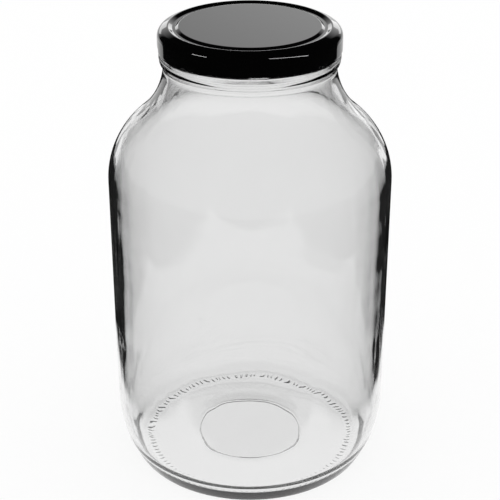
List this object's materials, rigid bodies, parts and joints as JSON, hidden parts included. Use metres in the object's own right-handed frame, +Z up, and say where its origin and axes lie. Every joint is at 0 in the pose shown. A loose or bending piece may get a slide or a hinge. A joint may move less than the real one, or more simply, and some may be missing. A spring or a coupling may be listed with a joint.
{
  "type": "glass jar",
  "caption": "Large clear wide-mouth storage jar with rounded shoulders, a beaded neck and a black metal twist-off lid, closed and empty",
  "frame": {"origin": "centre of the bearing ring that the jar stands on", "axes": "+Z up along the axis of jar and lid; the jar is round, so X and Y are level and -Y is its front"},
  "size_m": [0.164, 0.164, 0.271],
  "materials": {
    "clear_glass": "clear soda-lime glass, fire-polished, slightly uneven",
    "black_lacquer": "gloss black lacquer on tinplate"
  },
  "bodies": {
    "root": {"glass_jar": "clear_glass", "lid": "black_lacquer"}
  },
  "joints": []
}
